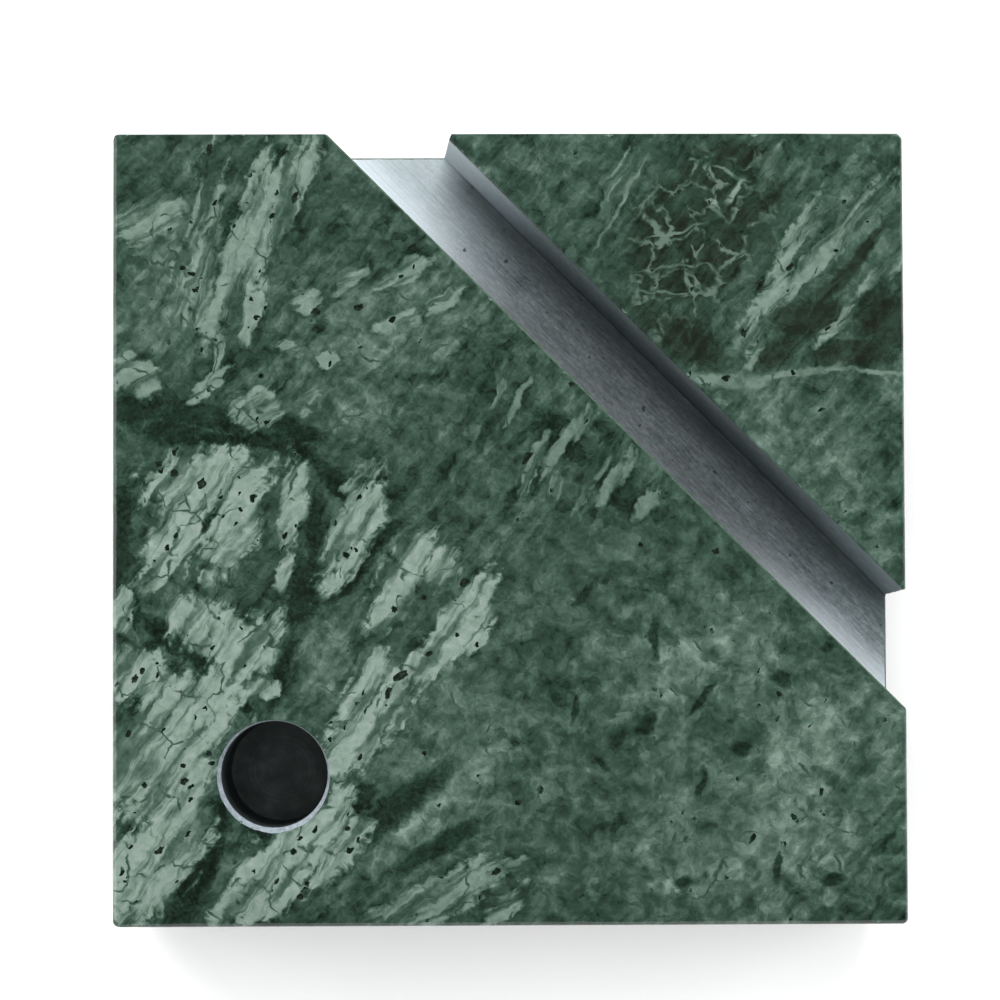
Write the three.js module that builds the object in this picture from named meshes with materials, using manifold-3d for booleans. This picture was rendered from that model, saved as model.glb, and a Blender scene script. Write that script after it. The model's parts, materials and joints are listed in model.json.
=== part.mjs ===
// A desk block for business cards and a pen: a square slab of polished green marble with a diagonal
// slot across one corner and a blind round hole by the opposite one. It stands on four self-adhesive
// felt pads. Millimetres, +Z up. The origin is on the desk, under the middle of the block. The slot's
// two ends open in the rear (+Y) and right (+X) sides.
import * as THREE from 'three';
import { mergeVertices } from 'three/addons/utils/BufferGeometryUtils.js';
import Module from 'manifold-3d';

const wasm = await Module();
wasm.setup();

// Block
const side = 100;
const thickness = 30;
const arris = 0.4; // 45 degree bevel along the edges
const cornerFacet = 0.7; // width of the facet that breaks each upright edge

// Card slot, parallel to the diagonal that runs from the rear left corner to the front right one
const slotWidth = 10.4;
const slotDepth = 20;
const slotOffset = 24.3; // from the middle of the block to the slot's centre line

// Pen hole
const holeX = -29.7;
const holeY = -30.9;
const holeRadius = 6.7;
const holeDepth = 20;
const holeChamfer = 0.5;
const holeSides = 72;

// Feet: a felt disc and its layer of adhesive
const padRadius = 6;
const padHeight = 2;
const padRounding = 0.35;
const adhesiveRadius = 5.8;
const adhesiveHeight = 0.2;
const padInset = 13; // from the block's sides to a pad's centre
const padSides = 48;

// Worked out from the dimensions above
const half = side / 2;
const bottom = padHeight + adhesiveHeight;
const top = bottom + thickness;
const slotFloor = top - slotDepth;
const frontWallReach = (slotOffset - slotWidth / 2) * Math.SQRT2; // x + y along the slot's front wall
const rearWallReach = (slotOffset + slotWidth / 2) * Math.SQRT2; // x + y along the slot's rear wall

const marble = new THREE.MeshStandardMaterial({ color: 0x53786a, roughness: 0.3, metalness: 0 });
const felt = new THREE.MeshStandardMaterial({ color: 0x2e3130, roughness: 0.95, metalness: 0 });
const glue = new THREE.MeshStandardMaterial({ color: 0xd8d2c0, roughness: 0.5, metalness: 0 });

// A closed three.js geometry as a solid for joining and cutting.
function toSolid(geometry) {
  geometry.deleteAttribute('normal');
  geometry.deleteAttribute('uv');
  const merged = mergeVertices(geometry);
  const triangles = [];
  for (let i = 0; i < merged.index.count; i += 3) {
    const corners = [0, 1, 2].map((k) => merged.index.getX(i + k));
    if (new Set(corners).size === 3) triangles.push(...corners);
  }
  const vertProperties = new Float32Array(merged.attributes.position.array);
  const triVerts = new Uint32Array(triangles);
  return new wasm.Manifold(new wasm.Mesh({ numProp: 3, vertProperties, triVerts }));
}

function toGeometry(solid) {
  const mesh = solid.getMesh();
  const geometry = new THREE.BufferGeometry();
  geometry.setAttribute('position', new THREE.BufferAttribute(mesh.vertProperties, 3));
  geometry.setIndex(new THREE.BufferAttribute(mesh.triVerts, 1));
  geometry.computeVertexNormals();
  return geometry;
}

// A convex outline, anticlockwise, with a facet of one width in place of each corner.
function breakCorners(outline) {
  return outline.flatMap((corner, i) => {
    const toLast = outline.at(i - 1).clone().sub(corner).normalize();
    const toNext = outline[(i + 1) % outline.length].clone().sub(corner).normalize();
    const cutBack = cornerFacet / toNext.distanceTo(toLast);
    return [toLast, toNext].map((direction) => direction.multiplyScalar(cutBack).add(corner));
  });
}

// A plate with the given outline from one height to another, with every edge bevelled.
function plate(outline, low, high) {
  const points = outline.map(([x, y]) => new THREE.Vector2(x, y));
  const geometry = new THREE.ExtrudeGeometry(new THREE.Shape(breakCorners(points)), {
    depth: high - low - 2 * arris,
    bevelThickness: arris,
    bevelSize: arris,
    bevelOffset: -arris,
    bevelSegments: 1,
  });
  return toSolid(geometry.translate(0, 0, low + arris));
}

// A solid of revolution about +Z. The profile is [radius, height] pairs from the bottom up.
function turned(profile, sides) {
  const points = profile.map(([radius, height]) => new THREE.Vector2(radius, height));
  return new THREE.LatheGeometry(points, sides).rotateX(Math.PI / 2);
}

// The block: a full base up to the slot's floor, and a piece on each side of the slot that starts
// well inside the base, so that only edges left open keep their bevels.
function blockGeometry() {
  const rooted = (bottom + slotFloor) / 2;
  const base = plate([[-half, -half], [half, -half], [half, half], [-half, half]], bottom, slotFloor);
  const frontPart = plate(
    [
      [-half, -half],
      [half, -half],
      [half, frontWallReach - half],
      [frontWallReach - half, half],
      [-half, half],
    ],
    rooted,
    top,
  );
  const rearPart = plate(
    [[rearWallReach - half, half], [half, rearWallReach - half], [half, half]],
    rooted,
    top,
  );
  const rise = 1; // how far the cutting tool stands above the block
  const bore = turned(
    [
      [0, top - holeDepth],
      [holeRadius, top - holeDepth],
      [holeRadius, top - holeChamfer],
      [holeRadius + holeChamfer + rise, top + rise],
      [0, top + rise],
    ],
    holeSides,
  );
  const blank = base.add(frontPart).add(rearPart);
  return toGeometry(blank.subtract(toSolid(bore.translate(holeX, holeY, 0))));
}

function padGeometry() {
  const profile = [
    [0, 0],
    [padRadius - padRounding, 0],
    [padRadius, padRounding],
    [padRadius, padHeight - padRounding],
    [padRadius - padRounding, padHeight],
    [0, padHeight],
  ];
  return toGeometry(toSolid(turned(profile, padSides)));
}

function adhesiveGeometry() {
  const profile = [
    [0, 0],
    [adhesiveRadius, 0],
    [adhesiveRadius, adhesiveHeight],
    [0, adhesiveHeight],
  ];
  return toGeometry(toSolid(turned(profile, padSides)));
}

function part(name, geometry, material) {
  const mesh = new THREE.Mesh(geometry, material);
  mesh.name = name;
  return mesh;
}

// A foot stands on the origin: the felt pad below, its adhesive on top.
function foot(place) {
  const group = new THREE.Group();
  const adhesive = part(`adhesive_${place}`, adhesiveGeometry(), glue);
  adhesive.position.z = padHeight;
  group.add(part(`felt_pad_${place}`, padGeometry(), felt), adhesive);
  return group;
}

const holder = new THREE.Group();
holder.add(part('marble_block', blockGeometry(), marble));
const places = { front_left: [-1, -1], front_right: [1, -1], rear_left: [-1, 1], rear_right: [1, 1] };
for (const [place, [across, along]] of Object.entries(places)) {
  const standing = foot(place);
  standing.position.set(across * (half - padInset), along * (half - padInset), 0);
  holder.add(standing);
}

export default holder;
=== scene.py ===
"""A green marble desk block with a card slot and a pen hole, on four felt pads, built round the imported
CAD frame. Lengths are in millimetres up to the point where a mesh is made, which is in metres."""
import json
import math
import random

import bmesh
import bpy
from mathutils import Matrix, Vector, noise


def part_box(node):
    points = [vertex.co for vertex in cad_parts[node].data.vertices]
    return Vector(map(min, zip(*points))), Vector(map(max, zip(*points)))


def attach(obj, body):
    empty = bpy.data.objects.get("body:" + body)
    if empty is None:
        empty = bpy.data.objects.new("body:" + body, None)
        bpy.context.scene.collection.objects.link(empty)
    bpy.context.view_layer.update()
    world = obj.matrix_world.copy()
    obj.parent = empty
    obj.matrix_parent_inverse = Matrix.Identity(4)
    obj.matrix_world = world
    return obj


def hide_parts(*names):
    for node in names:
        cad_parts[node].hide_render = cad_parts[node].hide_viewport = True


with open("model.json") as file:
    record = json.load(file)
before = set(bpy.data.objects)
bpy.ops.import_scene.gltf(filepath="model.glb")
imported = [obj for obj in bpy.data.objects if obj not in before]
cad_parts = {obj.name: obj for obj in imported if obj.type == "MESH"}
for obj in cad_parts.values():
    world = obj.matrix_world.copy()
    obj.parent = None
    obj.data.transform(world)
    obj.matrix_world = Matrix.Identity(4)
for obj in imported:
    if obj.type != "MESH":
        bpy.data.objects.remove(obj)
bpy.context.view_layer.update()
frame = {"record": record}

MM = 0.001

# ---------------------------------------------------------------- sizes, from the frame where it has them
block_low, block_high = (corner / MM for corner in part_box("marble_block"))
SEATS = {m["name"]: Vector(m["pos_m"]) / MM for m in frame["record"]["mounts"]}
HALF = (block_high.x - block_low.x) / 2
BASE, TOP = block_low.z, block_high.z
SLOT_FLOOR = SEATS["card_seat"].z
SLOT_MIDDLE = SEATS["card_seat"].xy.length  # from the block's middle to the slot's centre line
SLOT_WIDTH = 10.4
SLOT_ARRIS = 0.2
HOLE = SEATS["pen_seat"]
HOLE_RADIUS = 6.7
HOLE_CHAMFER = 0.5
ARRIS = 0.5  # the bevel along the block's outside edges
CORNER = 0.7  # radius of its upright edges
ALONG = Vector((1, -1, 0)).normalized()  # the slot's direction
ACROSS = Vector((1, 1, 0)).normalized()  # from the block's middle to the slot
SIDES = ((1, 0), (-1, 0), (0, 1), (0, -1))  # the directions that the four sides face
LIT = 1.80  # how much light falls on the top face, so that colours can be given as they look there


# ---------------------------------------------------------------- node graphs
class Graph:
    """One material's nodes. Each method adds a node and returns its output socket."""

    def __init__(self, name):
        self.material = bpy.data.materials.new(name)
        self.material.use_nodes = True
        self.tree = self.material.node_tree
        self.shader = self.tree.nodes["Principled BSDF"]
        place = self.tree.nodes.new("ShaderNodeTexCoord").outputs["Object"]
        self.point = self.vector("SCALE", place, scale=1 / MM)

    def add(self, kind, inputs, output=0, **settings):
        node = self.tree.nodes.new("ShaderNode" + kind)
        for key, value in settings.items():
            setattr(node, key, value)
        for key, value in inputs.items():
            if isinstance(value, bpy.types.NodeSocket):
                self.tree.links.new(value, node.inputs[key])
            elif value is not None:
                node.inputs[key].default_value = value
        return node.outputs[output]

    def math(self, operation, a, b=None, c=None):
        return self.add("Math", {0: a, 1: b, 2: c}, operation=operation)

    def vector(self, operation, a, b=None, scale=None, output=0):
        inputs = {0: a, 1: b}
        if scale is not None:
            inputs["Scale"] = scale
        return self.add("VectorMath", inputs, output, operation=operation)

    def noise(self, point, size, detail=4.0, roughness=0.6, distortion=0.0, output=0):
        inputs = {"Vector": point, "Scale": 1 / size, "Detail": detail}
        inputs.update({"Roughness": roughness, "Distortion": distortion})
        return self.add("TexNoise", inputs, output)

    def varied(self, level, source, amount):
        """The level, pushed up and down by a source that is 0.5 on average."""
        return self.math("MULTIPLY_ADD", self.math("SUBTRACT", source, 0.5), amount, level)

    def cells(self, point, size, feature="F1", output="Distance"):
        return self.add("TexVoronoi", {"Vector": point, "Scale": 1 / size}, output, feature=feature)

    def turned(self, point, turn):
        """The point as seen from axes turned about +Z by so many degrees."""
        return self.add("VectorRotate", {0: point, "Angle": math.radians(-turn)}, rotation_type="Z_AXIS")

    def local(self, point, centre, turn, lengths):
        """The point in a frame at centre, turned about +Z by so many degrees, in units of lengths."""
        return self.scaled(self.turned(point, turn), centre, turn, lengths)

    def scaled(self, turned, centre, turn, lengths):
        """The rest of local(), for a point that is turned already."""
        start = Matrix.Rotation(math.radians(-turn), 3, "Z") @ Vector(centre)
        scale = [1 / length for length in lengths]
        offset = [-a * b for a, b in zip(start, scale)]
        return self.add("VectorMath", {0: turned, 1: scale, 2: offset}, operation="MULTIPLY_ADD")

    def ease(self, value, low, high, to_low=0.0, to_high=1.0):
        """The value taken smoothly from one range to another, and held at the ends."""
        inputs = {"Value": value, "From Min": low, "From Max": high, "To Min": to_low, "To Max": to_high}
        return self.add("MapRange", inputs, interpolation_type="SMOOTHSTEP")

    def mix(self, share, a, b):
        """Between two numbers."""
        return self.add("Mix", {0: share, 2: a, 3: b}, data_type="FLOAT")

    def tint(self, share, a, b):
        """Between two colours."""
        return self.add("Mix", {0: share, 6: a, 7: b}, 2, data_type="RGBA")

    def ramp(self, value, stops, light=1.0):
        node = self.tree.nodes.new("ShaderNodeValToRGB")
        elements = node.color_ramp.elements
        while len(elements) < len(stops):
            elements.new(0.5)
        for element, (position, colour) in zip(elements, stops):
            element.position = position
            element.color = shade(*colour, light)
        self.tree.links.new(value, node.inputs[0])
        return node.outputs[0]

    def warped(self, point, size, reach, detail=2.0):
        """The point pushed about by noise, by up to about reach."""
        push = self.vector("SUBTRACT", self.noise(point, size, detail, output="Color"), (0.5, 0.5, 0.5))
        return self.vector("ADD", point, self.vector("SCALE", push, scale=2 * reach))

    def lenses(self, point, shapes, depth):
        """The nearest of several flat ellipsoids that cross the top face: 0 at a middle, 1 at an edge."""
        nearest = None
        for turn in sorted({shape[4] for shape in shapes}):
            turned = self.turned(point, turn)
            for x, y, length, width, _ in (shape for shape in shapes if shape[4] == turn):
                place = self.scaled(turned, (x, y, TOP), turn, (length, width, depth * width ** 0.5))
                reach = self.vector("LENGTH", place, output="Value")
                nearest = reach if nearest is None else self.math("MINIMUM", nearest, reach)
        return nearest

    def bump(self, height, distance, normal=None, strength=1.0):
        inputs = {"Strength": strength, "Distance": distance * MM, "Height": height, "Normal": normal}
        return self.add("Bump", inputs)

    def finish(self, colour=None, roughness=None, normal=None, **constants):
        for key, value in (("Base Color", colour), ("Roughness", roughness), ("Normal", normal)):
            if isinstance(value, bpy.types.NodeSocket):
                self.tree.links.new(value, self.shader.inputs[key])
            elif value is not None:
                self.shader.inputs[key].default_value = value
        for key, value in constants.items():
            self.shader.inputs[key.replace("_", " ")].default_value = value
        return self.material


def shade(red, green, blue, light=1.0):
    """The surface colour that looks like this display colour, from 0 to 255, under so much light."""
    def linear(value):
        value /= 255
        return (value / 12.92 if value <= 0.04045 else ((value + 0.055) / 1.055) ** 2.4) / light
    return (linear(red), linear(green), linear(blue), 1.0)


# ---------------------------------------------------------------- the stone's pattern on the top face
# Each shape is x, y, half its length, half its width and its turn in degrees. They are the pieces of
# pale serpentine, the dark veins and the open pits that make up the block's look from above.
FAN = [  # long slivers at the rear left, spreading towards the rear
    (-38.4, 37.1, 12.0, 1.8, 84), (-34.0, 35.9, 13.0, 1.7, 74), (-30.4, 38.4, 11.5, 1.9, 69),
    (-27.7, 41.5, 8.5, 1.3, 64), (-41.2, 30.8, 5.0, 1.1, 85), (-36.9, 22.6, 2.5, 0.7, 85),
    (-32.2, 27.6, 4.5, 1.3, 72),
]
COMB = [  # short slivers beside the slot
    (3.0, 8.1, 4.2, 0.9, 65), (5.9, 9.5, 4.2, 0.9, 60), (11.2, 8.1, 5.5, 1.0, 62),
    (14.0, 6.7, 4.5, 0.9, 55), (17.6, 3.4, 2.2, 1.0, 60), (5.9, 5.2, 2.0, 0.9, 80),
    (8.7, 12.6, 3.0, 0.8, 60), (-1.5, 16.5, 3.0, 0.6, 65), (0.9, 15.9, 3.0, 0.6, 62),
]
LUMPS = [  # the great broken lump at the left
    (-38.4, 6.2, 7.5, 4.0, 10), (-42.2, -1.4, 8.0, 3.2, 65), (-34.6, -0.1, 7.0, 3.0, 60),
    (-37.1, -12.8, 7.5, 3.4, -25), (-32.7, -15.3, 5.0, 3.0, 50), (-31.2, -20.0, 2.0, 1.3, 0),
    # right of it
    (-27.4, 3.4, 5.6, 1.9, 82), (-28.6, -5.6, 2.6, 1.2, 80), (-20.0, -0.4, 8.0, 3.1, 68),
    (-13.4, -6.2, 6.5, 2.4, 58), (-9.2, -4.8, 3.0, 2.0, 0), (-6.0, -10.5, 6.0, 2.2, 50),
    (-15.3, -10.5, 4.5, 1.8, 60),
    # the front left corner
    (-46.7, -18.3, 5.0, 3.8, -30), (-40.0, -23.9, 7.5, 5.2, 45), (-46.3, -28.2, 8.5, 5.2, 55),
    (-42.8, -31.7, 8.5, 4.8, 55), (-46.3, -43.4, 7.5, 5.0, 40), (-41.0, -38.8, 5.5, 3.4, 60),
    (-48.9, -10.5, 3.0, 1.6, 80),
    # right of the hole
    (-18.8, -20.3, 6.0, 2.2, 62), (-16.3, -23.9, 8.0, 2.4, 55), (-20.6, -27.4, 5.0, 2.6, 60),
    (-9.2, -15.8, 7.5, 2.0, 40), (-4.3, -12.6, 3.5, 1.6, 50),
    # in front of the hole
    (-28.7, -41.5, 9.0, 3.6, 52), (-31.8, -46.8, 6.0, 2.6, 30), (-22.6, -37.0, 5.0, 2.2, 50),
    (-21.2, -40.5, 6.0, 1.6, 52),
]
CLOTS = [  # small pieces behind the middle
    (-25.1, 28.9, 2.2, 1.6, 0), (-13.8, 32.1, 4.0, 1.2, 25), (-12.4, 33.4, 2.3, 1.2, 30),
    (-8.0, 29.0, 2.6, 1.1, 30), (-13.8, 26.6, 3.4, 1.2, 15), (-20.2, 31.0, 2.6, 0.8, 45),
    (-27.6, 22.6, 1.6, 0.9, -30), (-22.6, 21.0, 1.2, 0.9, 0), (-31.3, 15.1, 3.4, 2.4, 0),
    (-25.3, 16.5, 1.9, 1.5, 60), (-38.1, 18.2, 3.4, 1.0, 40), (-20.6, 12.2, 1.4, 0.8, -20),
    (-45.6, 39.6, 4.5, 3.0, 40), (-47.2, 19.4, 3.2, 2.4, -50),
    # low at the front
    (-9.2, -46.6, 9.0, 2.4, 25), (-0.8, -48.0, 3.5, 1.4, 45), (-1.5, -42.8, 4.5, 1.1, 25),
]
BANDS = [  # long pale bands in the rear right corner
    (36.4, 36.7, 7.0, 1.2, 60), (33.9, 28.9, 5.0, 1.7, 40), (38.9, 34.0, 9.0, 1.4, 50),
    (44.2, 39.6, 7.0, 1.6, 50), (47.4, 32.5, 5.0, 1.2, 45), (42.0, 26.1, 4.0, 0.8, 45),
    (31.1, 23.4, 3.0, 1.2, 75), (33.0, 46.0, 3.5, 1.2, 60), (13.5, 43.5, 5.5, 1.0, 62),
]
MIDDLING = [  # half as pale, with soft edges
    (-15.8, 18.2, 4.2, 1.3, 80), (-24.6, -4.0, 2.5, 1.6, 75), (-16.0, 24.0, 12.0, 8.0, 30),
    (-23.5, -14.6, 6.5, 3.2, 75), (-22.0, -15.4, 5.0, 1.6, 70), (-35.4, -43.3, 4.5, 1.3, 55),
    (38.1, -26.5, 7.0, 5.0, 20), (29.7, -14.8, 5.0, 4.0, 60), (21.8, -18.3, 4.0, 3.0, 70),
    (35.3, -38.9, 7.0, 4.0, 30), (30.7, -39.5, 2.5, 2.0, 0), (3.4, -32.8, 1.6, 1.0, 0),
    (4.7, -43.4, 1.6, 1.4, 0), (33.9, -48.0, 4.0, 1.6, 0), (-3.3, -9.8, 2.5, 1.6, 90),
    (44.0, -8.0, 5.0, 3.0, 50), (24.0, -44.0, 5.0, 2.5, 0), (-5.0, -31.0, 6.0, 1.6, 45),
    (-12.0, -37.0, 6.0, 1.4, 40),
]
LIFTED = [  # broad stretches a little paler than the rest
    (39.0, 9.0, 13.0, 8.0, -50), (35.0, -33.0, 20.0, 15.0, 20), (18.0, -17.0, 9.0, 7.0, 0),
    (-11.0, -30.0, 15.0, 9.0, 50), (30.0, -34.0, 14.0, 9.0, 20),
    (-42.0, 33.0, 7.0, 10.0, 0), (39.0, 32.0, 13.0, 6.0, 50),
]
DARK = [  # the band round the great lump
    (-40.0, 14.5, 8.0, 2.0, -8), (-27.0, 12.6, 4.0, 1.4, -20),
    (-48.2, 15.1, 3.0, 1.8, -10), (-42.8, 12.0, 4.5, 1.5, -10), (-35.0, 11.2, 5.0, 1.2, 0),
    (-28.0, 10.4, 4.5, 1.4, -20), (-22.4, 6.2, 4.5, 1.2, -50), (-49.2, -2.0, 8.0, 1.4, 85),
    (-47.6, -9.6, 3.0, 1.1, -70), (-43.0, -13.6, 4.0, 1.1, -38), (-38.2, -17.2, 4.0, 1.0, -45),
    (-34.6, -21.4, 3.5, 0.8, -50),
    # the veins between it and its neighbours
    (-24.7, 0.0, 5.0, 1.1, 84), (-26.0, -8.0, 5.0, 2.3, 78), (-28.8, -18.4, 5.5, 0.8, 72),
    (-16.3, -1.6, 4.5, 0.9, 50), (-20.4, -6.6, 4.0, 1.0, 45),
    # hollows between the front pieces
    (-19.1, -34.8, 4.0, 1.6, 45), (-39.3, -44.1, 7.0, 1.9, 65), (-37.5, -37.0, 4.0, 1.6, 60),
    (-14.0, -35.0, 8.0, 2.0, 40), (-9.0, -40.0, 7.0, 1.3, 30),
    # blots in the plain ground
    (18.3, -14.0, 2.6, 0.6, 85), (34.2, -19.1, 1.4, 1.0, 0), (24.2, -21.6, 2.6, 0.5, 50),
    (16.8, -25.0, 1.6, 0.9, 60), (28.9, -27.5, 1.3, 0.8, 30), (33.6, -43.1, 2.0, 0.6, 85),
    (40.6, -44.6, 1.2, 0.9, 20), (13.4, -37.1, 1.5, 0.6, 70), (11.8, -29.4, 1.4, 0.4, -50),
    (8.0, -22.6, 1.6, 0.4, 80), (-3.0, 12.0, 2.0, 0.7, 60), (1.0, 5.0, 2.4, 0.8, 40),
    (9.4, -8.6, 1.6, 0.6, 50), (24.0, -32.0, 1.6, 0.6, 80), (21.8, -44.6, 1.2, 0.7, 0),
    (26.2, 43.9, 1.6, 0.8, 15), (6.0, 11.5, 4.6, 2.2, -40), (13.5, 5.0, 4.6, 2.0, -45),
]
BROWN = [  # dark brownish lumps at the rear right, beyond the veined patch
    (29.3, 47.3, 4.0, 1.6, 0), (38.1, 26.5, 4.5, 2.4, 10), (47.4, 26.5, 4.0, 3.4, 0),
    (43.8, 22.0, 5.0, 1.6, 0), (34.0, 22.0, 3.0, 1.6, 30), (33.0, 41.5, 3.0, 1.4, 60),
    (41.5, 31.0, 4.0, 1.0, 48), (44.5, 34.5, 5.0, 0.8, 48), (22.0, 24.0, 6.0, 2.6, -30),
]
THREADS = [  # thin pale veins
    (28.6, 42.4, 1.4, 0.38, 55), (26.1, 40.7, 1.8, 0.22, -45), (28.2, 44.9, 2.4, 0.20, -25),
    (14.0, 41.0, 6.5, 0.22, 60), (27.0, 18.4, 5.5, 0.90, -4), (36.0, 19.4, 6.0, 0.45, 10),
    (45.5, 19.9, 6.5, 0.28, -2), (21.1, 37.5, 4.0, 0.18, 15), (20.5, 33.0, 4.5, 0.20, 5),
    (19.7, 29.7, 3.5, 0.20, -5),
]
KNOTS = [(28.9, 42.6, 1.7, 0.38, 62), (26.0, 41.4, 0.7, 0.34, 0)]  # where the pale veins meet
PITS = [
    (2.3, 9.0, 1.3, 0.50, 60), (31.9, 30.6, 1.2, 0.45, 60), (29.7, 24.7, 0.8, 0.50, 90),
    (35.6, 33.0, 0.8, 0.40, 50), (-13.8, -18.6, 1.4, 0.70, 30), (-15.4, -20.7, 1.0, 0.50, 70),
    (-5.7, -6.9, 0.9, 0.60, 40), (-10.8, -8.7, 0.5, 0.40, 0), (-14.5, -10.3, 0.6, 0.50, 60),
    (-10.2, -15.8, 0.6, 0.40, 30), (-38.8, 5.7, 0.9, 0.60, 60), (-42.2, 7.0, 0.7, 0.60, 0),
    (-44.2, 8.2, 0.5, 0.45, 0), (-27.0, 42.0, 1.0, 0.45, 65), (-37.8, 48.0, 1.0, 0.45, 80),
    (-24.4, 27.4, 0.8, 0.60, 0), (-19.0, 28.0, 0.8, 0.50, 0), (-12.2, 35.6, 1.0, 0.35, 30),
    (-31.3, 19.3, 0.5, 0.50, 0), (-41.2, 33.0, 0.5, 0.40, 0), (-47.2, -18.8, 0.7, 0.45, 60),
    (-46.3, -17.8, 0.5, 0.40, 60), (-48.0, -25.7, 0.8, 0.45, 60), (-41.0, -31.7, 0.7, 0.55, 30),
    (-37.9, -28.2, 0.5, 0.40, 0), (-44.1, -40.4, 0.9, 0.45, 40), (-1.8, -43.2, 0.9, 0.55, 30),
    (-26.5, -46.2, 0.6, 0.50, 0), (-25.6, -44.6, 0.5, 0.40, 0), (-29.4, -44.3, 0.6, 0.30, 60),
    (-10.8, -28.3, 0.4, 0.40, 0), (0.9, -34.5, 0.5, 0.45, 0), (-20.5, -37.7, 0.5, 0.40, 0),
    (26.1, -3.0, 0.6, 0.55, 0), (16.5, -2.1, 0.4, 0.40, 0), (33.9, -21.0, 0.5, 0.40, 0),
    (8.2, -21.8, 0.9, 0.30, 75), (7.9, 18.2, 0.5, 0.35, 0),
]


def streaks(g, point, turn, size):
    """Long fibres along one direction, standing upright in the stone: 0 to 1."""
    lengths = (7 * size, size, 6 * size)
    return g.noise(g.local(point, (3, 1, 0), turn, lengths), 1.0, 3.0, 0.62, 0.35)


def grains(g, point, size):
    """Fragments of random lightness: 0 to 1."""
    colours = g.cells(point, size, output="Color")
    return g.add("SeparateColor", {0: colours})


def specks(g, point, size, share, radius):
    """1 inside small round specks, of which there is at most one to a cell of so wide a size."""
    reach = g.math("MULTIPLY", g.ease(grains(g, point, size), share, 1.0), radius)
    return g.ease(g.math("SUBTRACT", g.cells(point, size), reach), 0.03, -0.03)


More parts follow.
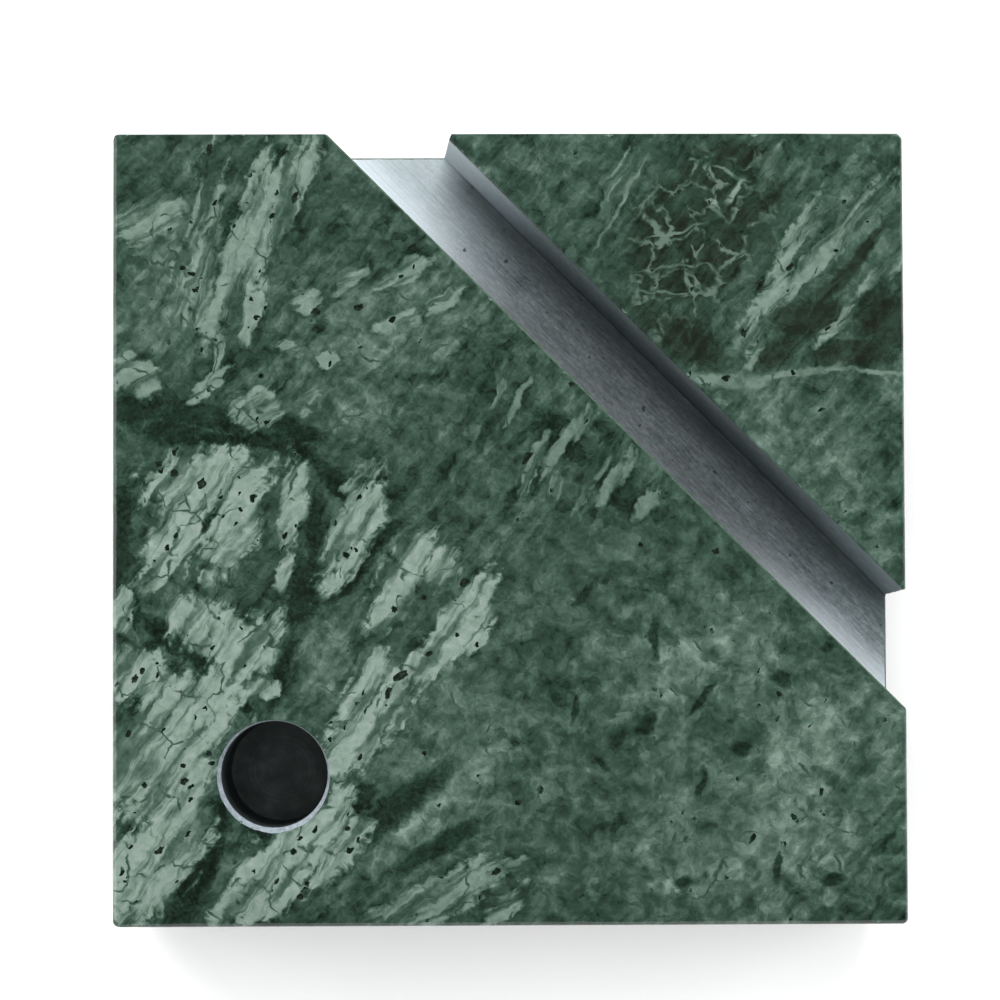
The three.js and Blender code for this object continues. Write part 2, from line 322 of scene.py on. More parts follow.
def marble_tone(g):
    """The marble's lightness at every point in the block, how brown it is, and its mottle: 0 to 1."""
    near = g.warped(g.point, 6.0, 1.2)
    near = g.warped(near, 1.4, 0.45, 2.0)
    blotches = g.noise(near, 9.0, 3.0, 0.55, 0.3)
    mottle = g.noise(near, 2.3, 5.0, 0.63, 0.3)
    ragged = g.math("SUBTRACT", g.noise(near, 1.0, 3.0, 0.6), 0.5)
    frayed = g.warped(near, 0.7, 0.35, 3.0)

    def patch(shapes, depth, soft, fray=0.6):
        """1 inside any of the shapes and 0 outside, with a frayed edge."""
        reach = g.math("MULTIPLY_ADD", ragged, fray, g.lenses(near, shapes, depth))
        reach = g.varied(reach, mottle, -1.6 * fray)
        return g.ease(reach, 1 + soft, 1 - soft)

    ground = g.varied(0.306, mottle, 0.58)
    ground = g.varied(ground, blotches, 0.30)
    ground = g.varied(ground, grains(g, frayed, 1.7), 0.10)
    ground = g.varied(ground, grains(g, frayed, 0.75), 0.055)
    fine = g.noise(near, 0.5, 2.0, 0.6)
    ground = g.varied(ground, fine, 0.16)
    drift = streaks(g, near, 50, 1.1)
    calm = g.vector("LENGTH", g.local(near, (20, -20, TOP), 45, (34, 24, 60)), output="Value")
    ground = g.varied(ground, drift, g.ease(calm, 0.8, 1.2, 0.05, 0.42))
    tone = g.math("MULTIPLY_ADD", patch(LIFTED, 6.0, 0.5, 0.8), 0.085, ground)
    tone = g.math("MULTIPLY_ADD", patch(MIDDLING, 4.0, 0.35, 0.9), 0.085, tone)
    dark = g.varied(g.varied(0.15, mottle, 0.40), fine, 0.22)
    tone = g.mix(g.math("MULTIPLY", patch(DARK, 4.0, 0.35, 0.9), 0.9), tone, dark)

    # The veined patch at the rear right: brown cells in a net of pale lines.
    corner = g.vector("LENGTH", g.local(near, (23.5, 37, TOP), 55, (13, 8.5, 30)), output="Value")
    zone = g.ease(g.varied(corner, mottle, -2.2), 1.2, 0.6)
    fade = g.noise(near, 4.0, 3.0, 0.6)
    zone = g.math("MULTIPLY", zone, g.ease(fade, 0.32, 0.50, 0.35, 1.0))
    brown = g.math("MAXIMUM", patch(BROWN, 4.0, 0.4, 0.9), zone)
    hollow = g.varied(0.150, mottle, 0.46)
    hollow = g.varied(g.varied(hollow, drift, 0.45), fine, 0.22)
    tone = g.mix(g.math("MULTIPLY", brown, 0.85), tone, hollow)
    edge = g.cells(g.warped(near, 2.6, 1.3), 3.3, "DISTANCE_TO_EDGE")
    net = g.ease(g.math("MULTIPLY_ADD", g.math("SUBTRACT", 0.5, fade), 0.40, edge), 0.11, 0.0)
    net = g.math("MULTIPLY", net, g.ease(fade, 0.36, 0.56, 0.22, 1.0))
    tone = g.mix(g.math("MULTIPLY", net, zone), tone, 0.54)
    thread = g.math("MULTIPLY", patch(THREADS, 6.0, 0.4, 0.5), g.ease(fade, 0.30, 0.60, 0.35, 1.0))
    tone = g.mix(thread, tone, 0.56)
    tone = g.mix(patch(KNOTS, 6.0, 0.4, 0.5), tone, 0.66)

    # The pale pieces, each kind with its own grain direction and lightness
    gravel = g.noise(near, 1.2, 4.0, 0.60, 0.2)
    for shapes, turn, level in (
        (FAN, 72, 0.595), (COMB, 62, 0.50), (LUMPS, 55, 0.655), (CLOTS, 30, 0.58), (BANDS, 50, 0.575),
    ):
        broad = streaks(g, near, turn, 1.7)
        pale = g.math("SUBTRACT", level, g.ease(broad, 0.58, 0.34, 0, 0.29))
        pale = g.varied(pale, gravel, 0.32)
        pale = g.math("MULTIPLY_ADD", ragged, 0.06, pale)
        reach = g.varied(g.lenses(near, shapes, 4.0), broad, -1.5)
        reach = g.varied(reach, mottle, -1.3)
        reach = g.math("MULTIPLY_ADD", ragged, 0.9, reach)
        tone = g.math("MULTIPLY_ADD", g.ease(reach, 1.75, 1.05), -0.055, tone)
        tone = g.mix(g.ease(reach, 1.22, 0.74), tone, pale)

    # More pale pieces and dark seams below the top, for the sides and the underside
    below = g.ease(g.vector("DOT_PRODUCT", g.point, (0, 0, 1), output="Value"), TOP - 1.5, TOP - 6)
    deep = g.noise(g.local(near, (0, 0, 8), 58, (10, 3, 8)), 1.0, 3.0, 0.6)
    tone = g.mix(g.math("MULTIPLY", g.ease(deep, 0.53, 0.68), below), tone, g.varied(0.46, gravel, 0.5))
    seam = g.ease(g.math("ABSOLUTE", g.math("SUBTRACT", deep, 0.44)), 0.02, 0.0, 0.0, 0.8)
    tone = g.mix(g.math("MULTIPLY", seam, below), tone, 0.12)

    # Thin dark cracks across the pale pieces
    web = g.cells(g.warped(near, 4.0, 1.4), 6.5, "DISTANCE_TO_EDGE")
    crack = g.math("MULTIPLY", g.ease(web, 0.035, 0.0), g.ease(fade, 0.46, 0.58, 0.0, 0.85))
    tone = g.mix(g.math("MULTIPLY", crack, g.ease(tone, 0.36, 0.5)), tone, 0.22)

    # Black specks, mostly in the pale stone
    drawn = g.local(frayed, (0, 0, 0), 57, (1.5, 1.0, 1.0))
    for size, share, radius in ((2.3, 0.30, 0.17), (1.2, 0.45, 0.25)):
        mask = specks(g, drawn, size, share, radius)
        tone = g.mix(g.math("MULTIPLY", mask, g.ease(tone, 0.36, 0.52, 0.10, 0.95)), tone, 0.05)
    return tone, brown, mottle


def marble_colour(g):
    """The marble's colour, and its mottle."""
    tone, brown, mottle = marble_tone(g)
    green = g.ramp(tone, [
        (0.00, (10, 16, 13)), (0.10, (20, 34, 26)), (0.20, (38, 60, 48)), (0.31, (58, 84, 71)),
        (0.40, (78, 104, 91)), (0.50, (106, 130, 117)), (0.62, (140, 163, 150)), (0.75, (174, 192, 182)),
    ], LIT)
    return g.tint(g.math("MULTIPLY", brown, 0.27), green, shade(54, 57, 45, LIT)), mottle


def polished_marble():
    """The top and the sides."""
    g = Graph("polished_marble")
    colour, mottle = marble_colour(g)
    wear = g.noise(g.point, 14.0, 4.0, 0.6)
    roughness = g.math("ADD", g.ease(mottle, 0.3, 0.7, 0.24, 0.16), g.ease(wear, 0.35, 0.75, 0, 0.10))
    orange_peel = g.bump(g.noise(g.point, 1.4, 3.0, 0.6), 0.02, strength=0.25)
    return g.finish(colour, roughness, orange_peel, IOR=1.54)


def sawn_marble():
    """The slot: grey, with the saw's fine lines running along it, and small open pits."""
    g = Graph("sawn_marble")
    turn = math.degrees(math.atan2(ALONG.y, ALONG.x))
    long_lines = g.noise(g.local(g.point, (0, 0, 0), turn, (30.0, 0.40, 0.40)), 1.0, 3.0, 0.6)
    short_lines = g.noise(g.local(g.point, (0, 0, 0), turn, (1.5, 0.22, 0.22)), 1.0, 3.0, 0.65)
    cloud = g.noise(g.point, 5.0, 4.0, 0.6)
    grain = g.noise(g.point, 0.5, 3.0, 0.7)
    level = g.varied(0.5, long_lines, 0.42)
    level = g.varied(level, short_lines, 0.95)
    level = g.varied(level, cloud, 0.40)
    level = g.varied(level, grain, 0.55)
    colour = g.ramp(level, [
        (0.15, (52, 60, 61)), (0.42, (90, 100, 102)), (0.58, (110, 120, 122)), (0.85, (142, 151, 154)),
    ])
    beside = g.vector("DOT_PRODUCT", g.point, tuple(ACROSS), output="Value")
    along = g.vector("DOT_PRODUCT", g.point, tuple(ALONG), output="Value")
    height = g.vector("DOT_PRODUCT", g.point, (0, 0, 1), output="Value")
    near_corner, far_corner = SLOT_MIDDLE - SLOT_WIDTH / 2, SLOT_MIDDLE + SLOT_WIDTH / 2
    rear_end = far_corner - math.sqrt(2) * HALF

    # Painted shade darkens the walls; painted light brightens the rear end of the floor and its near side
    wall = g.ease(height, SLOT_FLOOR + 0.4, SLOT_FLOOR + 2.5)
    colour = g.tint(g.math("MULTIPLY", wall, 0.45), colour, shade(60, 74, 74))
    # Painted light at the rear end, where light comes in through the slot's open end
    colour = g.tint(g.ease(along, -21, -43, 0.0, 0.42), colour, shade(206, 216, 221))
    # Painted light along the near side of the floor, where the near wall's shadow falls
    painted_near_side_light = g.ease(beside, SLOT_MIDDLE + 0.8, near_corner)
    painted_near_side_light = g.math("MULTIPLY", painted_near_side_light, g.ease(g.math("ABSOLUTE", along), 14, 40, 0.18, 0.80))
    colour = g.tint(painted_near_side_light, colour, shade(214, 222, 227))

    # Painted shade in the far corner of the floor, beside the far wall
    painted_corner_shade = g.ease(beside, far_corner - 5.5, far_corner - 0.4)
    painted_corner_shade = g.math("MULTIPLY", painted_corner_shade, g.ease(along, rear_end, rear_end + 6))
    painted_corner_shade = g.math("MULTIPLY", painted_corner_shade, g.ease(height, SLOT_FLOOR + 2.5, SLOT_FLOOR))
    painted_corner_shade = g.math("MULTIPLY", painted_corner_shade, g.ease(cloud, 0.30, 0.70, 0.80, 1.0))
    colour = g.tint(g.math("MULTIPLY", painted_corner_shade, 0.90), colour, shade(40, 50, 50))

    # Open pits
    uneven_point = g.warped(g.point, 0.5, 0.25)
    for size, share, radius in ((2.6, 0.75, 0.13), (1.1, 0.85, 0.20)):
        mask = specks(g, uneven_point, size, share, radius)
        colour = g.tint(g.math("MULTIPLY", mask, 0.85), colour, shade(30, 38, 38))
    normal = g.bump(long_lines, 0.06, strength=0.7)
    normal = g.bump(short_lines, 0.05, normal, 0.8)
    return g.finish(colour, g.ease(short_lines, 0.3, 0.7, 0.65, 0.48), normal, IOR=1.5)


def drilled_marble():
    """The hole: dark grey, which is painted shade of the deep hole, with the drill's rings."""
    g = Graph("drilled_marble")
    around = g.local(g.point, (HOLE.x, HOLE.y, 0), 0, (1, 1, 1))
    x, y, height = g.add("SeparateXYZ", {0: around}).node.outputs
    radius = g.vector("LENGTH", g.add("CombineXYZ", {0: x, 1: y}), output="Value")
    rings = g.noise(g.add("CombineXYZ", {0: radius, 1: height}), 0.35, 3.0, 0.6)
    cloud = g.noise(g.point, 2.5, 4.0, 0.6)
    level = g.varied(cloud, rings, 0.45)
    colour = g.ramp(level, [(0.2, (36, 43, 43)), (0.5, (50, 58, 57)), (0.8, (70, 79, 78))])
    normal = g.bump(rings, 0.04, strength=0.6)
    normal = g.bump(g.noise(g.point, 0.4, 3.0, 0.6), 0.03, normal, 0.5)
    return g.finish(colour, g.ease(cloud, 0.3, 0.7, 0.62, 0.48), normal, IOR=1.5)


def ground_marble():
    """The underside: the marble's own pattern, sawn and ground flat but not polished."""
    g = Graph("ground_marble")
    colour, _ = marble_colour(g)
    lines = g.noise(g.local(g.point, (0, 0, 0), 12, (40.0, 0.5, 0.5)), 1.0, 3.0, 0.6)
    dusty = g.ease(lines, 0.3, 0.7, 0.30, 0.50)
    colour = g.tint(dusty, colour, shade(142, 156, 150))
    return g.finish(colour, g.ease(lines, 0.3, 0.7, 0.6, 0.75), g.bump(lines, 0.05, strength=0.6), IOR=1.5)


def chipped_marble():
    """Fresh breaks: pits and chips, rough inside, and dark partly from the stone's dark minerals and
    partly from painted shade.
    """
    g = Graph("chipped_marble")
    grain = g.noise(g.point, 0.5, 4.0, 0.65)
    colour = g.ramp(grain, [(0.3, (8, 13, 11)), (0.55, (24, 36, 30)), (0.8, (58, 78, 68))])
    return g.finish(colour, 0.85, g.bump(grain, 0.15, strength=0.9), IOR=1.5)


def dull_marble(name, dark, middle, pale):
    """The stone where its polish has gone: matt and a little grainy."""
    g = Graph(name)
    grain = g.noise(g.point, 0.6, 4.0, 0.65)
    colour = g.ramp(grain, [(0.3, dark), (0.55, middle), (0.8, pale)])
    return g.finish(colour, 0.7, g.bump(grain, 0.10, strength=0.6), IOR=1.5)


def pressed_felt():
    """The pads: dark grey fibres, matted in two directions."""
    g = Graph("pressed_felt")
    matted = g.warped(g.point, 0.8, 0.5, 3.0)
    fibres = g.noise(g.local(matted, (0, 0, 0), 30, (1.6, 0.16, 0.3)), 1.0, 4.0, 0.7, 0.8)
    crossing = g.noise(g.local(matted, (0, 0, 0), 115, (1.6, 0.16, 0.3)), 1.0, 4.0, 0.7, 0.8)
    level = g.math("MAXIMUM", fibres, crossing)
    colour = g.ramp(level, [(0.35, (20, 21, 22)), (0.6, (46, 48, 49)), (0.85, (92, 94, 94))])
    return g.finish(colour, 0.95, g.bump(level, 0.12, strength=0.9), Sheen_Weight=0.4, Sheen_Roughness=0.6)


def acrylic_adhesive():
    """Yellowish and cloudy."""
    g = Graph("acrylic_adhesive")
    cloud = g.noise(g.point, 1.5, 4.0, 0.6)
    colour = g.ramp(cloud, [(0.3, (196, 188, 164)), (0.6, (220, 214, 196)), (0.8, (232, 228, 214))])
    roughness = g.ease(cloud, 0.3, 0.7, 0.30, 0.45)
    return g.finish(colour, roughness, g.bump(cloud, 0.05, strength=0.5), IOR=1.47)


# ---------------------------------------------------------------- mesh helpers
def made(name, points, faces, *materials):
    """A mesh object from points in millimetres."""
    mesh = bpy.data.meshes.new(name)
    mesh.from_pydata([tuple(MM * c for c in p) for p in points], [], faces)
    for material in materials:
        mesh.materials.append(material)
    piece = bpy.data.objects.new(name, mesh)
    bpy.context.collection.objects.link(piece)
    return piece


def lofted(name, loops, *materials):
    """A closed skin through loops of equal length, the first and last of which are its ends."""
    count = len(loops[0])
    points = [p for loop in loops for p in loop]
    faces = []
    for row in range(len(loops) - 1):
        for i in range(count):
            a, b = row * count + i, row * count + (i + 1) % count
            faces.append((a, b, b + count, a + count))
    faces.append(tuple(reversed(range(count))))
    faces.append(tuple(range((len(loops) - 1) * count, len(loops) * count)))
    return made(name, points, faces, *materials)


def circle(x, y, radius, height, sides, wobble=0.0):
    """Points round a level circle, which wobble makes a little uneven."""
    loop = []
    for i in range(sides):
        angle = 2 * math.pi * i / sides
        out = Vector((math.cos(angle), math.sin(angle), 0))
        far = radius + wobble * noise.noise(out * 9 + Vector((x, y, 7 * height)))
        loop.append(Vector((x, y, height)) + out * far)
    return loop


def walk(corners, radius, step):
    """Points round a convex outline with rounded corners, each with its outward direction."""
    found = []
    count = len(corners)
    for i, corner in enumerate(corners):
        before = (corner - corners[i - 1]).normalized()
        after = (corners[(i + 1) % count] - corner).normalized()
        turn = before.angle(after)
        back = radius * math.tan(turn / 2)
        out = Vector((before.y, -before.x, 0))
        centre = corner - before * back - out * radius
        pieces = max(2, round(turn / math.radians(15)))
        for k in range(pieces + 1):
            direction = Matrix.Rotation(turn * k / pieces, 3, "Z") @ out
            found.append((centre + direction * radius, direction))
        start = corner + after * back
        following = corners[(i + 1) % count]
        beyond = (corners[(i + 2) % count] - following).normalized()
        length = (following - start).length - radius * math.tan(after.angle(beyond) / 2)
        steps = int(length / step)
        out = Vector((after.y, -after.x, 0))
        found += [(start + after * length * k / steps, out) for k in range(1, steps)]
    return found


def bevel(size, steps=6, roundness=1.35):
    """(inset, drop) pairs across a nearly flat bevel, from the upright face to the top."""
    pairs = []
    for k in range(steps + 1):
        angle = math.pi / 2 * k / steps
        across, down = math.cos(angle) ** (2 / roundness), math.sin(angle) ** (2 / roundness)
        pairs.append((size * (1 - across), size * (1 - down)))
    return pairs


def uneven(point, share=0.22, size=3.0):
    """A factor near 1 that wanders along an edge."""
    return 1 + share * noise.noise(point / size)


def worn(point, out):
    """How wide the top's bevel is at a place on the rim, as a share of the usual. The rear edge is
    nearly sharp, and a little less so at its right end."""
    if out.y < 0.5:
        return uneven(point * 1.1)
    share = min(1, max(0, (point.x - 0.72 * HALF) / (0.2 * HALF)))
    return (0.25 + 0.35 * share) * uneven(point * 1.1)


def cut(target, cutter, name):
    """Takes the cutter's shape out of the target and deletes the cutter."""
    change = target.modifiers.new(name, "BOOLEAN")
    change.operation = "DIFFERENCE"
    change.solver = "EXACT"
    change.use_self = True
    change.material_mode = "TRANSFER"
    change.object = cutter
    evaluated = target.evaluated_get(bpy.context.evaluated_depsgraph_get())
    result = bpy.data.meshes.new_from_object(evaluated)
    target.modifiers.remove(change)
    old, target.data = target.data, result
    bpy.data.meshes.remove(old)
    bpy.data.objects.remove(cutter)


def pebble(build, place, axes, turn, lumps, seed):
    """Adds a small lumpy ellipsoid to a bmesh, for cutting a pit or a chip."""
    shape = Matrix.LocRotScale(place * MM, Matrix.Rotation(math.radians(turn), 3, "Z"), axes * MM)
    ball = bmesh.ops.create_icosphere(build, subdivisions=2, radius=1.0)["verts"]
    for vert in ball:
        vert.co *= 1 + lumps * noise.noise(vert.co * 1.7 + Vector((seed * 3.1, seed * 1.7, 0)))
        vert.co = shape @ vert.co


def from_bmesh(name, build, material):
    mesh = bpy.data.meshes.new(name)
    build.to_mesh(mesh)
    build.free()
    mesh.materials.append(material)
    piece = bpy.data.objects.new(name, mesh)
    bpy.context.collection.objects.link(piece)
    return piece


# ---------------------------------------------------------------- the block
def blank_block(material):
    """The whole slab, with a bevel round its top and bottom."""
    corners = [Vector((x * HALF, y * HALF, 0)) for x, y in ((-1, -1), (1, -1), (1, 1), (-1, 1))]
    outline = walk(corners, CORNER, 1.25)
    widest = CORNER * 0.95
    loops = []
    for inset, drop in reversed(bevel(ARRIS)):
        up = Vector((0, 0, BASE + drop))
        loops.append([p - out * min(inset * uneven(p), widest) + up for p, out in outline])
    for inset, drop in bevel(ARRIS):
        loop = []
        for p, out in outline:
            wear = worn(p, out)
            loop.append(p - out * min(inset * wear, widest) + Vector((0, 0, TOP - drop * wear)))
        loops.append(loop)
    return lofted("marble_block_detailed", loops, material)


def slot_cutter(sawn, polished, worn_edge):
    """A bar with the slot's section: a grooved floor, upright walls and a bevel at the top of each."""
    grooves = 64
    rise = 3.0
    reach = HALF * math.sqrt(2)
    side = SLOT_WIDTH / 2
    stations = 96
    random.seed(11)
    depths = [random.uniform(-0.022, 0.022) for _ in range(grooves - 1)]
    loops = []
    for k in range(stations + 1):
        along = reach * (2 * k / stations - 1)
        middle = ACROSS * SLOT_MIDDLE + ALONG * along
        section = []
        for i in range(grooves + 1):
            depth = depths[i - 1] if 0 < i < grooves else 0
            waver = 0.012 * noise.noise(Vector((along / 9, i * 0.8, 3)))
            section.append((side * (2 * i / grooves - 1), SLOT_FLOOR + depth + waver))
        for sign in (1, -1):
            size = SLOT_ARRIS * uneven(middle + ACROSS * side * sign, 0.35, 1.6)
            steps = ((0, 0), (0.35, 0.55), (1, 1))
            climb = [(sign * (side + size * out), TOP - size * (1 - up)) for out, up in steps]
            climb.append((climb[-1][0], TOP + rise))
            section += climb if sign == 1 else climb[::-1]
        loops.append([middle + ACROSS * a + Vector((0, 0, h)) for a, h in section])
    cutter = lofted("slot_cutter", loops, sawn, polished, worn_edge)
    for face in cutter.data.polygons:
        if face.center.z > (TOP - SLOT_ARRIS * 0.95) * MM:
            far_side = face.center.dot(ACROSS) > SLOT_MIDDLE * MM
            face.material_index = 1 if far_side else 2
    return cutter


def bore_cutter(drilled, countersunk):
    """The drill's shape: ringed floor with a shallow middle, round wall and a bevelled mouth, which was
    ground a little off centre, towards the front."""
    sides = 144
    floor = HOLE.z
    core = 2.7
    rings = [(0.25, floor - 0.20), (core - 0.5, floor - 0.16), (core, floor - 0.02)]
    random.seed(5)
    radius = core + 0.3
    while radius < HOLE_RADIUS - 0.4:
        rings.append((radius, floor + random.uniform(-0.03, 0.05)))
        radius += 0.3
    rings += [(HOLE_RADIUS - 0.25, floor), (HOLE_RADIUS - 0.07, floor + 0.07), (HOLE_RADIUS, floor + 0.25)]
    wall_steps = 14
    off_centre = Vector((0.4, 1, 0)).normalized()
    for k in range(1, wall_steps):
        height = floor + (TOP - HOLE_CHAMFER - floor) * k / wall_steps
        rings.append((HOLE_RADIUS + random.uniform(-0.02, 0.02), height))
    loops = [circle(HOLE.x, HOLE.y, r, h, sides, 0.01) for r, h in rings]
    for width, height in ((0.0, -HOLE_CHAMFER), (0.06, -HOLE_CHAMFER * 0.8), (HOLE_CHAMFER, 0.0)):
        mouth = circle(HOLE.x, HOLE.y, HOLE_RADIUS, TOP + height, sides)
        for i, p in enumerate(mouth):
            out = (p - Vector((HOLE.x, HOLE.y, p.z))).normalized()
            lean = 0.75 - 0.55 * out.dot(off_centre)
            mouth[i] = p + out * width * lean * uneven(p * 1.3, 0.18, 1.2)
        loops.append(mouth)
    loops.append([p + Vector((0, 0, 1)) + (p - Vector((HOLE.x, HOLE.y, TOP))) * 0.02 for p in loops[-1]])
    cutter = lofted("bore_cutter", loops, drilled, countersunk)
    for face in cutter.data.polygons:
        if face.center.z > (TOP - HOLE_CHAMFER * 0.95) * MM:
            face.material_index = 1
    return cutter


def side_spot(place, height, facing, inset=0.0):
    """A spot on one of the four sides, so far along it and so high."""
    spot = Vector((facing[0] * (HALF - inset), facing[1] * (HALF - inset), height))
    return spot + Vector((abs(facing[1]) * place, abs(facing[0]) * place, 0))


def scattered_pits():
    """The pits in the top face, and a few on the sides."""
    build = bmesh.new()
    for i, (x, y, length, width, turn) in enumerate(PITS):
        depth = 0.6 * width + 0.1
        axes = 0.85 * Vector((length, width, depth))
        pebble(build, Vector((x, y, TOP + 0.2 * depth)), axes, turn, 0.7, i)
    side_pits = 34
    random.seed(23)
    for i in range(side_pits):
        place = random.uniform(-HALF + 4, HALF - 4)
        height = random.uniform(BASE + 3, TOP - 3)
        facing = random.choice(SIDES)
        size = random.uniform(0.25, 0.75)
        spot = side_spot(place, height, facing)
        away = (spot - ACROSS * SLOT_MIDDLE).dot(ACROSS)
        if abs(away) < SLOT_WIDTH and height > SLOT_FLOOR - 2:
            continue
        pebble(build, spot, Vector((size, size, size * 0.8)), 0, 0.6, 50 + i)
    return build


def edge_chips():
    """Nicks along the edges: the outside, the slot and the mouth of the hole, and bruised corners."""
    outside_nicks, slot_nicks, mouth_nicks = 56, 14, 8
    build = bmesh.new()
    random.seed(37)
    for i in range(outside_nicks):
        place = random.uniform(-HALF + 1, HALF - 1)
        facing = random.choice(SIDES)
        size = random.choice((0.12, 0.16, 0.2, 0.3))
        level = TOP if i % 3 else BASE
        spot = side_spot(place, level, facing, 0.1)
        stretch = Vector((1 + abs(facing[1]), 1 + abs(facing[0]), 1)) * size
        pebble(build, spot, stretch, 0, 0.5, 100 + i)
    for i in range(slot_nicks):
        along = random.uniform(-HALF, HALF) * 0.9
        sign = random.choice((1, -1))
        size = random.choice((0.1, 0.13, 0.16))
        spot = ACROSS * (SLOT_MIDDLE + sign * (SLOT_WIDTH / 2 + SLOT_ARRIS)) + ALONG * along
        spot.z = TOP
        pebble(build, spot, Vector((2.5 * size, size, size)), -45, 0.5, 200 + i)
    for i in range(mouth_nicks):
        angle = random.uniform(0, 2 * math.pi)
        size = random.choice((0.12, 0.16, 0.22))
        out = Vector((math.cos(angle), math.sin(angle), 0))
        spot = Vector((HOLE.x, HOLE.y, TOP)) + out * (HOLE_RADIUS + HOLE_CHAMFER)
        pebble(build, spot, Vector((size, size, size * 0.8)), 0, 0.5, 300 + i)
    bruises = [
        (-1, -1, 1.3, TOP), (1, 1, 1.1, TOP), (1, -1, 0.8, TOP), (-1, 1, 0.7, TOP), (1, -1, 0.9, BASE),
    ]
    for i, (x, y, size, level) in enumerate(bruises):
        spot = Vector((x * (HALF + 0.25), y * (HALF + 0.25), level))
        pebble(build, spot, Vector((size, size, size)), 45, 0.3, 400 + i)
    return build


def edge_breaks():
    """Diamond bars along the edges that the slot leaves at the two faces it opens through."""
    build = bmesh.new()
    up = Vector((0, 0, 1))
    rightward, rearward = Vector((1, 0, 0)), Vector((0, 1, 0))
    for outward, along_face in ((rearward, rightward), (rightward, rearward)):
        inward = ALONG if outward.y else -ALONG
        feet = []
        for sign in (-1, 1):
            line = (SLOT_MIDDLE + sign * SLOT_WIDTH / 2) * math.sqrt(2)
            foot = outward * HALF + along_face * (line - HALF)
            feet.append(foot)
            sizes = (0.18, 0.18)
            if sign == 1:  # the sharp tips, of which the rear one is broken back towards the top
                sizes = (0.15, 1.2) if outward.y else (0.25, 0.5)
            ends = (foot + up * (SLOT_FLOOR + 0.1), foot + up * (TOP + 0.5))
            diamond(build, ends, along_face * sign, inward, sizes)
        floor_ends = [foot + up * SLOT_FLOOR for foot in feet]
        diamond(build, floor_ends, -up, -outward, (0.2, 0.2))
    return build


def diamond(build, ends, first, second, sizes):
    """A bar whose section is a diamond on an edge, so that cutting it away bevels that edge. It has a
    size at each end."""
    steps = 24
    rows = []
    for k in range(steps + 1):
        middle = ends[0].lerp(ends[1], k / steps)
        width = (sizes[0] + (sizes[1] - sizes[0]) * k / steps) * uneven(middle + first * 7, 0.25, 1.4)
        corners = (first, second, -first, -second)
        rows.append([build.verts.new((middle + corner * width) * MM) for corner in corners])
    for below, above in zip(rows, rows[1:]):
        for i in range(4):
            build.faces.new((below[i], below[(i + 1) % 4], above[(i + 1) % 4], above[i]))
    build.faces.new(rows[0][::-1])
    build.faces.new(rows[-1])
    bmesh.ops.recalc_face_normals(build, faces=build.faces)


def detailed_block():
    polished, sawn, drilled = polished_marble(), sawn_marble(), drilled_marble()
    ground = ground_marble()
    crushed = dull_marble("crushed_marble", (50, 72, 61), (84, 106, 94), (120, 140, 129))
    worn_edge = dull_marble("worn_edge", (46, 64, 52), (66, 86, 72), (88, 108, 94))
    countersunk = dull_marble("countersunk_marble", (102, 111, 117), (128, 137, 144), (154, 161, 168))
    block = blank_block(polished)
    cut(block, slot_cutter(sawn, polished, worn_edge), "slot")
    cut(block, bore_cutter(drilled, countersunk), "bore")
    cut(block, from_bmesh("breaks", edge_breaks(), polished), "breaks")
    cut(block, from_bmesh("chips", edge_chips(), crushed), "chips")
    cut(block, from_bmesh("pits", scattered_pits(), chipped_marble()), "pits")
    mesh = block.data
    mesh.materials.append(ground)
    underside = len(mesh.materials) - 1
    for face in mesh.polygons:
        if face.normal.z < -0.99 and face.center.z < (BASE + 0.1) * MM:
            face.material_index = underside
    mesh.shade_smooth()
    mesh.set_sharp_from_angle(angle=math.radians(22))
    return block


# ---------------------------------------------------------------- the feet
def disc(node):
    """The middle of a disc's underside, its radius and its height, from the frame."""
    low, high = (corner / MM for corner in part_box(node))
    middle = Vector(((low.x + high.x) / 2, (low.y + high.y) / 2, low.z))
    return middle, (high.x - low.x) / 2, high.z - low.z


def felt_pad(node, material):
    """A punched felt disc: slightly barrelled, with a soft rim and an uneven, matted skin."""
    middle, radius, height = disc(node)
    rim = 0.45
    rings = [(share * (radius - rim), 0.0) for share in (0.12, 0.35, 0.6, 0.8)]
    for k in range(6):
        angle = math.pi / 2 * k / 5
        rings.append((radius - rim + rim * math.sin(angle), rim * (1 - math.cos(angle))))
    rings.append((radius * 1.004, height / 2))
    rings += [(r, height - h) for r, h in reversed(rings[:-1])]
    loops = []
    for r, h in rings:
        loop = circle(middle.x, middle.y, r, middle.z + h, 96, 0.10 if r > radius / 2 else 0.0)
        inward = 0.03 if h < height / 2 else -0.03
        loops.append([p + Vector((0, 0, inward * abs(noise.noise(p * 1.4)))) for p in loop])
    pad = lofted(node + "_detailed", loops, material)
    pad.data.shade_smooth()
    return pad


def adhesive_film(node, material):
    """A thin layer of adhesive, pressed out a little unevenly at its rim."""
    middle, radius, height = disc(node)
    rings = [(0.3, 0), (radius * 0.6, 0), (radius - 0.12, 0), (radius, height * 0.3)]
    rings += [(radius, height * 0.7), (radius - 0.12, height), (radius * 0.6, height), (0.3, height)]
    loops = []
    for r, h in rings:
        loops.append(circle(middle.x, middle.y, r, middle.z + h, 96, 0.16 if r > radius / 2 else 0.0))
    film = lofted(node + "_detailed", loops, material)
    film.data.shade_smooth()
    film.data.set_sharp_from_angle(angle=math.radians(40))
    return film


def place(piece, node, slot):
    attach(piece, "root")
    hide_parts(node)


place(detailed_block(), "marble_block", "marble")
felt, glue = pressed_felt(), acrylic_adhesive()
for where in ("front_left", "front_right", "rear_left", "rear_right"):
    place(felt_pad("felt_pad_" + where, felt), "felt_pad_" + where, "felt")
    place(adhesive_film("adhesive_" + where, glue), "adhesive_" + where, "adhesive")


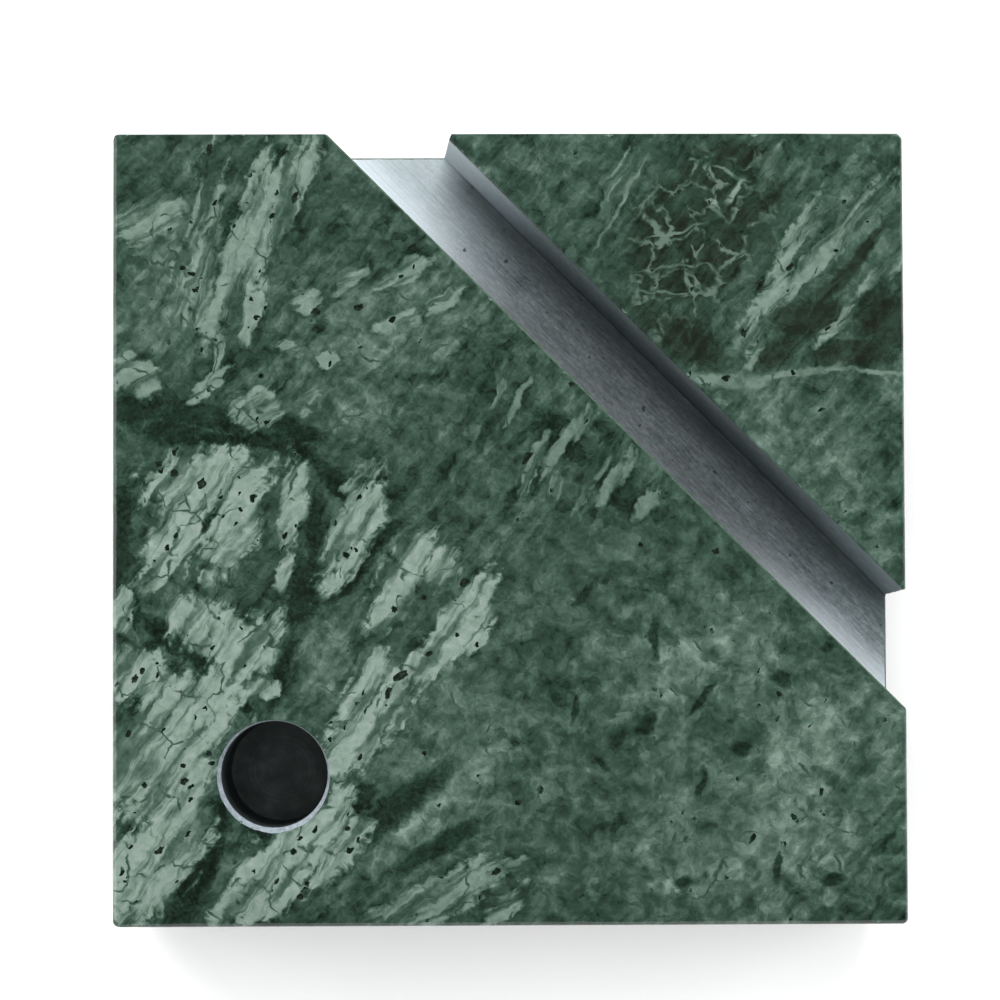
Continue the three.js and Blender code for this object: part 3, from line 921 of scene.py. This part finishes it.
# ---------------------------------------------------------------- floor, lights and camera
def floor():
    """A pale table, lit a little from below."""
    g = Graph("pale_floor")
    cloud = g.noise(g.point, 60.0, 4.0, 0.5)
    colour = g.ramp(cloud, [(0.3, (246, 246, 246)), (0.7, (250, 250, 250))])
    g.tree.links.new(colour, g.shader.inputs["Emission Color"])
    g.finish(colour, 0.9, Specular_IOR_Level=0.1, Emission_Strength=0.02)
    side = 4000
    corners = [(-side, -side, 0), (side, -side, 0), (side, side, 0), (-side, side, 0)]
    made("floor", corners, [(0, 1, 2, 3)], g.material)


def soft_light(name, place, target, width, height, power):
    """A rectangular light in metres and watts, turned to face its target."""
    data = bpy.data.lights.new(name, "AREA")
    data.shape = "RECTANGLE"
    data.size, data.size_y = width, height
    data.energy = power
    light = bpy.data.objects.new(name, data)
    light.location = place
    light.rotation_euler = (Vector(target) - Vector(place)).to_track_quat("-Z", "Y").to_euler()
    bpy.context.collection.objects.link(light)
    return light


def studio():
    """Soft boxes low all round, the rear one strongest, one overhead, and a wide faint one behind."""
    world = bpy.data.worlds.new("studio")
    world.use_nodes = True
    bpy.context.scene.world = world
    background = world.node_tree.nodes["Background"]
    background.inputs["Color"].default_value = (0.95, 0.97, 1.0, 1)
    background.inputs["Strength"].default_value = 0.02
    middle = (0, 0, 0.05)
    # The strongest are kept out of reflections, as a polarising filter would, so that no glare
    # covers the polished top. The faint one gives it its sheen.
    for light in (
        soft_light("rear_softbox", (-0.22, 0.92, 0.42), middle, 1.5, 0.80, 22),
        soft_light("right_softbox", (0.95, 0.0, 0.42), middle, 1.1, 0.80, 9),
        soft_light("overhead_softbox", (0, 0, 1.20), middle, 1.0, 1.0, 9),
    ):
        light.visible_glossy = False
    soft_light("rear_sheen", (0.10, 0.96, 0.50), middle, 2.4, 1.2, 3)
    soft_light("left_softbox", (-0.95, -0.10, 0.42), middle, 1.1, 0.80, 6)
    soft_light("front_softbox", (0.10, -0.95, 0.42), middle, 1.1, 0.80, 4)
    bpy.context.scene.view_settings.view_transform = "Standard"


def camera():
    """High above the block and a little to its front left, looking down with a small tilt."""
    data = bpy.data.cameras.new("camera")
    data.lens = 120
    data.sensor_width = 36
    data.shift_y = 0.05
    shown = bpy.data.objects.new("camera", data)
    above_top = 420
    shown.location = Vector((-6.8, -17.8, TOP + above_top)) * MM
    tilt, yaw, roll = math.radians(2.05), math.radians(-0.76), math.radians(-0.18)
    turn = Matrix.Rotation(tilt, 3, "X") @ Matrix.Rotation(yaw, 3, "Y") @ Matrix.Rotation(roll, 3, "Z")
    shown.rotation_euler = turn.to_euler()
    bpy.context.collection.objects.link(shown)
    bpy.context.scene.camera = shown


floor()
studio()
camera()
